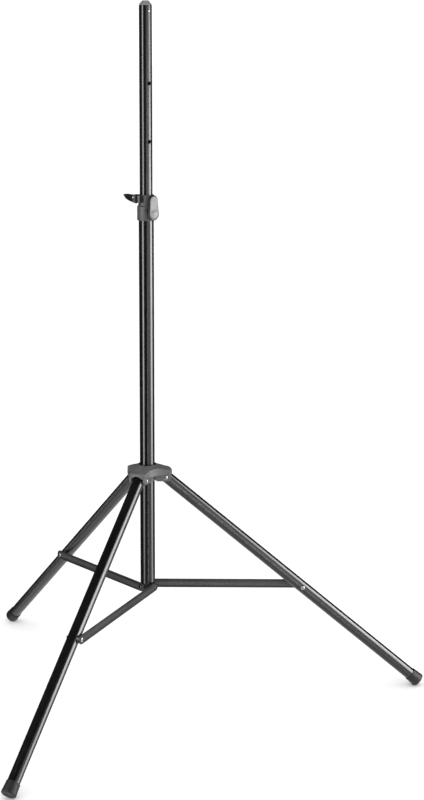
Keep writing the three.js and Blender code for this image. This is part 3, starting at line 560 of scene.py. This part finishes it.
def clamp_lever():
    place = radial(LEVER_AZIMUTH, LEVER_Z)
    body = carved("lever_body", [prism(lever_outline(18, 13.5, 38.5), 30, 37.4, 2.2, segments=4)],
                  [cylinder(4.3, 25, 40), cylinder(6.9, 33.7, 45, 6)])
    piece(body, "clamp_lever", ["clamp_lever"], BLACK_PLASTIC, place)
    middle = Matrix.Translation((*LEVER_MIDDLE, 0))
    dome = lathe(rounded([(0, 38), (12.6, 38), (12.4, 41.2, 2), (0, 43)], closed=False), 64, middle)
    arm = prism(lever_outline(13.4, 10.8, 38, *LEVER_MIDDLE), 37.7, 40.9, 1.3, segments=4)
    groove = prism([(-20, 1), (20, 17), (19.4, 18.4), (-20.6, 2.4)], 40.5, 45)
    cover = softened(carved("lever_cover", [arm, dome], [groove]), 0.35, 3)
    piece(cover, "clamp_lever", ["clamp_lever_cover"], LEVER_GREY, place, 0)
    for node in ("clamp_screw", "clamp_nut"):
        frame["nodes"][node].data.materials[0] = STEEL
    frame["nodes"]["clamp_pad"].data.materials[0] = BUSH_PLASTIC


# ---------------------------------------------------------------- safety bolt and its lever


def release_lever():
    side = [
        (9.2, 1432), (24, 1430.5, 2), (31, 1428.8, 4), (40, 1432.6, 12), (50, 1437.2, 12), (58, 1443.6, 8),
        (63.2, 1453.2, 0.6), (55, 1454, 6), (49, 1454, 6), (43, 1452.8, 6), (36, 1451.7, 6),
        (25.5, 1451.6, 3),
        (9.2, 1450),
    ]
    flank = [(61, 4.2, 3), (52, 6.6, 8), (38, 8.1, 4), (31, 11.2, 3), (25, 18.6, 3), (19, YOKE_HALF, 3),
             (9.2, YOKE_HALF)]
    plan = [(x, -y, *radius) for x, y, *radius in reversed(flank)] + [(63.6, 0, 3.4)] + flank
    blank = prism(rounded(side), -YOKE_HALF, YOKE_HALF, 0, ACROSS)
    outer = prism(rounded(plan), 1410, 1470)
    slot = arc(CROSS_PIN_R, BOLT_Z - 0.3, 2, 180, 360, 10) + arc(CROSS_PIN_R, BOLT_Z + 4.9, 2, 0, 180, 10)
    obj = carved("release_beak", [shared("beak", blank, outer)], [
        block((20, 42), (-6, 6), (1420, 1449.2)), cylinder(YOKE_BORE, 1420, 1470, 96),
        prism(slot, -12, 12, 0, ACROSS),
        cylinder(1.8, -12, 12, 24, lifted(-LATCH_PIVOT.x, LATCH_PIVOT.z) @ PINWISE),
    ])
    softened(obj, 0.32, 4)
    piece(obj, "release_lever", ["release_lever"], BLACK_PLASTIC, turned(LATCH_AZIMUTH), 0)


def bolt_pieces():
    place = radial(LATCH_AZIMUTH, BOLT_Z)
    low, high = BOLT_R
    shape = rounded([
        (0, low), (3.2, low, 0.8), (3.2, low + 4.2), (4.2, low + 4.2, 0.3), (4.2, low + 5.5, 0.3),
        (2.4, low + 5.5), (2.4, high, 0.5), (0, high),
    ], 3, closed=False)
    piece(linked("bolt_shank", lathe(shape, 40)), "safety_bolt", ["safety_bolt"], STEEL,
          place)
    pin = rounded([(0, -7.7), (1.4, -7.7, 0.3), (1.4, 7.7, 0.3), (0, 7.7)], 3, closed=False)
    piece(linked("cross_pin", lathe(pin, 24)), "safety_bolt", ["bolt_cross_pin"], DARK_STEEL,
          turned(LATCH_AZIMUTH) @ lifted(CROSS_PIN_R, BOLT_Z) @ PINWISE)
    plug = rounded([(2.7, 30.6), (4.3, 30.6, 0.3), (4.3, 33.4, 0.3), (2.7, 33.4)], 3)
    piece(linked("retainer_ring", lathe(plug, 40)), "mast", ["bolt_retainer"], STEEL, place)
    stub = rounded([(0, -8.4), (1.5, -8.4, 0.4), (1.5, 8.4, 0.4), (0, 8.4)], 3, closed=False)
    piece(linked("latch_pin", lathe(stub, 24)), "mast", ["release_lever_pin"], DARK_STEEL,
          turned(LATCH_AZIMUTH) @ lifted(-LATCH_PIVOT.x, LATCH_PIVOT.z) @ PINWISE)
    frame["nodes"]["bolt_spring"].data.materials[0] = STEEL
    frame["nodes"]["bolt_spring"].data.shade_smooth()


# ---------------------------------------------------------------- hub

HUB_HALF = 25
CHEEK_FACE = 24.5
FORK_HALF = 17.8
HUB_CORNER = 6
HUB_FILLET = 85
HUB_LIP = 662
HUB_BARREL = 28
HUB_BORE = 23.8
FORK_TOP = 675.7
FORK_BOTTOM = 630
FORK_START = 30
FORK_CORNER = 6         # fills the fork's top outer corner
FORK_SADDLE = 650.2     # middle of the round notch under each arm
KNOB_LOBES = 5


def hub_plan():
    """Three arms joined by hollow fillets, corners rounded."""
    centre = (HUB_HALF + HUB_FILLET) / math.sin(math.radians(LEG_STEP / 2))
    fillet = arc(centre / 2, centre * math.sin(math.radians(60)), HUB_FILLET, 270, 210, 24)
    x = HUB_REACH - HUB_CORNER
    y = HUB_HALF - HUB_CORNER
    arm = arc(x, -y, HUB_CORNER, -90, 0, 8) + arc(x, y, HUB_CORNER, 0, 90, 8) + fillet[:-1]
    points = []
    for k in LEGS:
        turn = Matrix.Rotation(math.radians(LEG_STEP * k), 2)
        points += [tuple(turn @ Vector(point)) for point in arm]
    return points


def hub_casting():
    crown = rounded([
        (0, HUB_LIP - 2), (HUB_REACH, HUB_LIP - 2), (HUB_REACH, 676, 7), (HUB_REACH - 12, 678.2, 8),
        (32, 687.4, 4), (27.4, HUB_Z[1], 2.4), (0, HUB_Z[1]),
    ], 6, closed=False)
    plate = shared("hub_plate", prism(hub_plan(), HUB_LIP, HUB_Z[1] + 5), lathe(crown, 144))
    cheek = rounded([
        (HUB_REACH - 4, HUB_Z[0], 10), (HUB_REACH - 3, HUB_LIP + 1), (20, HUB_LIP + 1), (20, HUB_Z[0] + 4),
        (26, HUB_Z[0], 3),
    ])
    wall = HUB_REACH - 4
    fork = [(FORK_START, FORK_BOTTOM), (wall, FORK_BOTTOM), (wall, FORK_TOP - FORK_CORNER),
            (wall - FORK_CORNER, FORK_TOP), (FORK_START, FORK_TOP)]
    lock = Matrix.Rotation(math.radians(LOCK_AZIMUTH), 4, "Z") @ lifted(0, LOCK_Z) @ OUTWARDS
    joined = [plate, cylinder(HUB_BARREL, 646, HUB_LIP + 4, 96), cylinder(8.5, 24, 36, 48, lock)]
    removed = [cylinder(HUB_BORE, HUB_Z[0] - 5, HUB_Z[1] + 5, 96), cylinder(LOCK_HOLE, 10, 40, 32, lock)]
    for k in LEGS:
        turn = Matrix.Rotation(math.radians(LEG_STEP * k), 4, "Z")
        for side in (-CHEEK_FACE, FORK_HALF):
            joined.append(prism(cheek, -side - (CHEEK_FACE - FORK_HALF), -side, 0, turn @ ACROSS))
        removed += [
            prism(fork, -FORK_HALF, FORK_HALF, 0, turn @ ACROSS),
            cylinder(FORK_HALF, 40, 80, 48, turn @ lifted(0, FORK_SADDLE) @ OUTWARDS),
            block((40, 80), (-FORK_HALF, FORK_HALF), (FORK_BOTTOM, FORK_SADDLE), turn),
            cylinder(PIN_HOLE, -DRILL, DRILL, 32, turn @ lifted(LEG_PIVOT.x, LEG_PIVOT.z) @ PINWISE),
        ]
    obj = softened(carved("hub_casting", joined, removed), 0.7, 5)
    piece(obj, "hub", ["hub"], HUB_GREY, crease=0)


def hub_pieces():
    hub_casting()
    bore = OUTER_RADIUS + GAP
    liner = rounded([(bore, 647), (23.5, 647, 0.4), (23.5, HUB_Z[1] + 0.3), (25, HUB_Z[1] + 0.3, 0.3),
                     (24.6, HUB_Z[1] + 1.8, 0.7), (bore, HUB_Z[1] + 1.8, 0.3)], 3)
    lock = Matrix.Rotation(math.radians(LOCK_AZIMUTH), 4, "Z") @ lifted(0, LOCK_Z) @ OUTWARDS
    obj = carved("hub_liner", [lathe(liner, 96)], [cylinder(LOCK_HOLE, 10, 40, 32, lock)])
    piece(obj, "hub", ["hub_bush"], BLACK_PLASTIC)

    face = CHEEK_FACE + GAP
    for k in LEGS:
        pin = rounded([(0, -face - 2.3), (4.6, -face - 2.2, 1.4), (6, -face - 0.7, 0.6), (6, -face, 0.2),
                       (4, -face), (4, face), (6, face, 0.2), (6, face + 0.7, 0.6), (4.6, face + 2.2, 1.4),
                       (0, face + 2.3)], 3, closed=False)
        piece(linked(f"pivot_rivet_{k}", lathe(pin, 48)), "hub", [f"leg_pivot_{k}"], STEEL,
              turned(LEG_STEP * k) @ lifted(LEG_PIVOT.x, LEG_PIVOT.z) @ PINWISE)

    place = radial(LOCK_AZIMUTH, LOCK_Z)
    thread = [(0, OUTER_RADIUS + 0.4), (3, OUTER_RADIUS + 0.4)]
    pitch = 1.25
    for i in range(22):
        start = OUTER_RADIUS + 1.2 + pitch * i
        thread += [(3.5, start), (4, start + pitch / 2)]
    thread += [(3.5, 51.4), (0, 51.9)]
    piece(linked("lock_thread", lathe(thread, 32)), "lock_knob", ["lock_screw"], STEEL,
          place)
    star = []
    for i in range(100):
        turn = 2 * math.pi * i / 100
        radius = 12.6 + 1.6 * math.cos(KNOB_LOBES * turn)
        star.append((radius * math.cos(turn), radius * math.sin(turn)))
    collar = lathe(rounded([(0, 41), (8, 41, 0.8), (8, 49), (0, 49)], closed=False), 48)
    knob = carved("star_knob", [prism(star, 48, 62, 2.4, segments=4), collar], [cylinder(4.3, 40, 52.4, 32)])
    piece(knob, "lock_knob", ["lock_knob"], BLACK_PLASTIC, place)


# ---------------------------------------------------------------- legs and feet


def leg_pieces(k):
    body = f"leg_{k}"
    place = leg_frame(k)
    along = place @ OUTWARDS
    pin = OUTWARDS.inverted() @ PINWISE
    rivet = OUTWARDS.inverted() @ lifted(BRACE_ON_LEG, 0) @ PINWISE
    holes = [cylinder(PIN_HOLE, -DRILL, DRILL, 32, pin), cylinder(LEG_RIVET_HOLE, -DRILL, DRILL, 32, rivet)]
    tube(f"leg_tube_{k}_skin", LEG_RADIUS, LEG_RADIUS - 1.5, LEG_TUBE_START, LEG_TUBE_END, holes, body,
         f"leg_tube_{k}", along)

    snug = LEG_RADIUS - 1.8
    plug = rounded([(0, -9), (snug, -9, 1), (snug, 14, 0.6), (0, 14)], closed=False)
    obj = carved(f"leg_plug_{k}", [lathe(plug, 72)], [cylinder(PIN_HOLE, -DRILL, DRILL, 32, pin)])
    piece(obj, body, [f"leg_insert_{k}"], BLACK_PLASTIC, along)
    foot(k, along)

    pad = cylinder(11, 8, BRACE_FACES[0] - 0.4, 64, lifted(BRACE_ON_LEG, 0) @ PINWISE)
    obj = carved(f"saddle_{k}", [pad], [
        cylinder(LEG_RADIUS + GAP, BRACE_ON_LEG - 40, BRACE_ON_LEG + 40, 96, OUTWARDS),
        cylinder(LEG_RIVET_HOLE, 0, DRILL, 32, lifted(BRACE_ON_LEG, 0) @ PINWISE),
    ])
    piece(obj, body, [f"brace_saddle_{k}"], BLACK_PLASTIC, place)

    face = LEG_RADIUS + GAP
    end = BRACE_FACES[0] - 0.7
    shape = rounded([
        (0, -face - 2.5), (4.4, -face - 2.4, 1.6), (6, -face - 0.7, 0.6), (6, -face, 0.2),
        (3.5, -face), (3.5, end, 0.3), (0, end),
    ], 3, closed=False)
    piece(linked(f"leg_rivet_head_{k}", lathe(shape, 48)), body, [f"leg_rivet_{k}"], STEEL,
          place @ lifted(BRACE_ON_LEG, 0) @ PINWISE)


def foot(k, along):
    """Rubber cap with a lip, two moulded grips and a flat where it stands."""
    start = LEG_TO_FOOT
    end = start + FOOT_LENGTH
    bore = LEG_RADIUS + GAP
    seat = LEG_TUBE_END + GAP
    shape = rounded([
        (bore, start), (19, start, 0.7), (19.1, start + 3.4, 0.5), (18.7, start + 4.2, 0.5),
        (18.9, start + 5, 0.5), (FOOT_RADIUS, end, 3), (13, end, 0.6), (12.4, end - 1.4, 0.6),
        (0, end - 1.4), (0, seat), (bore, seat),
    ], 6)
    floor = block((-1500, 1500), (-1500, 1500), (-60, 0), along.inverted() @ STAND)
    obj = carved(f"foot_cap_{k}", [lathe(shape, 96)], [floor])
    piece(obj, f"leg_{k}", [f"foot_{k}"], RUBBER, along)


# ---------------------------------------------------------------- braces and bottom fitting


def rivet_shape(radius, start, face):
    return rounded([
        (0, start), (radius, start, 0.3), (radius, face), (6.5, face, 0.2), (6.5, face + 0.6, 0.5),
        (4.8, face + 1.7, 1.6), (0, face + 1.8),
    ], 3, closed=False)


def brace_pieces(k):
    inner, outer = BRACE_FACES
    half = BRACE_HALF_WIDTH
    shape = arc(0, 0, half, 90, 270, 24) + arc(BRACE_LENGTH, 0, half, -90, 90, 24)
    place = brace_frame(k)
    bar = prism(shape, -outer, -inner, 1.2, ACROSS, segments=4)
    drill = [cylinder(PIN_HOLE, 0, 40, 32, lifted(x, 0) @ PINWISE) for x in (0, BRACE_LENGTH)]
    obj = carved(f"brace_bar_{k}", [bar], drill)
    piece(obj, f"brace_{k}", [f"brace_{k}"], BRACE_COAT, place)
    face = outer + GAP
    piece(linked(f"outer_rivet_head_{k}", lathe(rivet_shape(4, inner + 0.1, face), 48)), f"brace_{k}",
          [f"brace_outer_rivet_{k}"], STEEL, place @ lifted(BRACE_LENGTH, 0) @ PINWISE)
    piece(linked(f"inner_rivet_head_{k}", lathe(rivet_shape(4, 14, face), 48)), "mast",
          [f"brace_inner_rivet_{k}"], DARK_STEEL,
          turned(LEG_STEP * k) @ lifted(0, BRACE_PIVOT.z) @ PINWISE)


def bottom_plug():
    low = reach("bottom_fitting", 2)[0]
    seat = OUTER_Z[0] - GAP
    joined = [cylinder(20.6, low, seat, 96), cylinder(18.9, seat - 1, 368, 96)]
    removed = [cylinder(13, low - 1, 369, 64)]
    for k in LEGS:
        turn = Matrix.Rotation(math.radians(LEG_STEP * k), 4, "Z")
        joined.append(block((-11, 11), (12, BRACE_FACES[0] - 0.4), (low, seat), turn))
        removed.append(cylinder(PIN_HOLE, 10, DRILL, 32, turn @ lifted(0, BRACE_PIVOT.z) @ PINWISE))
    obj = softened(carved("bottom_plug", joined, removed), 0.5, 4)
    piece(obj, "mast", ["bottom_fitting"], BLACK_PLASTIC, crease=0)


# ---------------------------------------------------------------- put together

pole_pieces()
clamp_collar()
set_screw()
clamp_lever()
release_lever()
bolt_pieces()
hub_pieces()
for leg in LEGS:
    leg_pieces(leg)
    brace_pieces(leg)
bottom_plug()

# ---------------------------------------------------------------- camera, floor and light

CAMERA_PLACE = Vector((-322.6, -4974.6, 1950)) * MM + POLE
CAMERA_YAW = -5.81
CAMERA_PITCH = -12.17
CAMERA_ROLL = 0.19
CAMERA_LENS = 81.57
CAMERA_AZIMUTH = math.atan2(322.6, 4974.6)


def camera():
    data = bpy.data.cameras.new("camera")
    data.lens = CAMERA_LENS
    data.sensor_width = 36
    data.clip_end = 200
    obj = bpy.data.objects.new("camera", data)
    yaw = Matrix.Rotation(math.radians(CAMERA_YAW), 4, "Z")
    pitch = Matrix.Rotation(math.radians(90 + CAMERA_PITCH), 4, "X")
    roll = Matrix.Rotation(math.radians(CAMERA_ROLL), 4, "Z")
    obj.matrix_world = Matrix.Translation(CAMERA_PLACE) @ (yaw @ pitch @ roll)
    bpy.context.scene.collection.objects.link(obj)
    bpy.context.scene.camera = obj


def studio_floor():
    bm = bmesh.new()
    size = 60
    bm.faces.new([bm.verts.new(corner) for corner in
                  ((-size, -size, 0), (size, -size, 0), (size, size, 0), (-size, size, 0))])
    floor = linked("studio_floor", bm)
    look = Look("floor_white", Specular_IOR_Level=0.1)
    tone = look.mixed(look.noise(3, 2), grey(0.93), grey(0.95))
    floor.data.materials.append(look.finish(tone, look.ranged(look.noise(20), 0, 1, 0.75, 0.85)))
    floor.visible_glossy = False
    floor.visible_shadow = False


def panel(name, azimuth, distance, low, high, width, radiance, shine_only=True):
    """An upright light facing the pole; azimuth 0 is the camera's side, positive to its left."""
    data = bpy.data.lights.new(name, "AREA")
    data.shape = "RECTANGLE"
    data.size = width
    data.size_y = high - low
    data.energy = radiance * math.pi * width * (high - low)
    obj = bpy.data.objects.new(name, data)
    turn = math.radians(azimuth) + CAMERA_AZIMUTH
    spot = POLE - Vector((math.sin(turn), math.cos(turn), 0)) * distance
    spot.z = (low + high) / 2
    aim = Vector((POLE.x, POLE.y, spot.z)) - spot
    obj.matrix_world = Matrix.Translation(spot) @ aim.to_track_quat("-Z", "Y").to_matrix().to_4x4()
    obj.visible_camera = False
    obj.visible_diffuse = not shine_only
    obj.visible_glossy = shine_only
    bpy.context.scene.collection.objects.link(obj)


def strip(name, azimuth, distance, width, steps):
    """A strip light whose brightness changes with height; steps are (low, high, radiance)."""
    for i, (low, high, radiance) in enumerate(steps):
        panel(f"{name}_{i}", azimuth, distance, low, high, width, radiance)


WORLD_WHITE = 1.17
DARK_ROOM = 0.015
FLOOR_GLOW = 0.7


def world_light():
    """White to the eye and to matt surfaces; what shines sees a dark room over a bright floor."""
    world = bpy.data.worlds.new("studio")
    bpy.context.scene.world = world
    world.use_nodes = True
    nodes = world.node_tree.nodes
    links = world.node_tree.links
    background = nodes["Background"]
    background.inputs["Color"].default_value = grey(1)
    way = nodes.new("ShaderNodeSeparateXYZ")
    links.new(nodes.new("ShaderNodeTexCoord").outputs["Generated"], way.inputs[0])
    below = nodes.new("ShaderNodeMapRange")
    below.interpolation_type = "SMOOTHSTEP"
    links.new(way.outputs["Z"], below.inputs["Value"])
    limits = {"From Min": -0.7, "From Max": -0.42, "To Min": FLOOR_GLOW, "To Max": DARK_ROOM}
    for socket, value in limits.items():
        below.inputs[socket].default_value = value
    mix = nodes.new("ShaderNodeMix")
    mix.data_type = "FLOAT"
    links.new(nodes.new("ShaderNodeLightPath").outputs["Is Glossy Ray"], mix.inputs[0])
    mix.inputs[2].default_value = WORLD_WHITE
    links.new(below.outputs[0], mix.inputs[3])
    links.new(mix.outputs[0], background.inputs["Strength"])


camera()
studio_floor()
world_light()
strip("strip_left", 54, 2.2, 0.8, [(-2, -0.2, 2.5), (-0.2, 0.1, 3.3), (0.1, 0.4, 4.6), (0.4, 2.2, 6)])
strip("strip_right", -79, 2.2, 1.3, [
    (-2, -0.2, 3.2), (-0.2, 0.1, 4), (0.1, 0.4, 5.5), (0.4, 0.8, 7), (0.8, 1.3, 8.5), (1.3, 1.6, 6.3),
    (1.6, 2.2, 4.5)])
strip("fill_right", -33, 3.0, 2.4, [(-2, -0.2, 0.55), (-0.2, 0.4, 0.7), (0.4, 1.2, 1.1), (1.2, 2.4, 0.9)])
panel("key", -15, 4.0, 1.5, 4.5, 3.0, 2.2, shine_only=False)

scene = bpy.context.scene
scene.view_settings.view_transform = "Standard"
scene.cycles.use_denoising = True
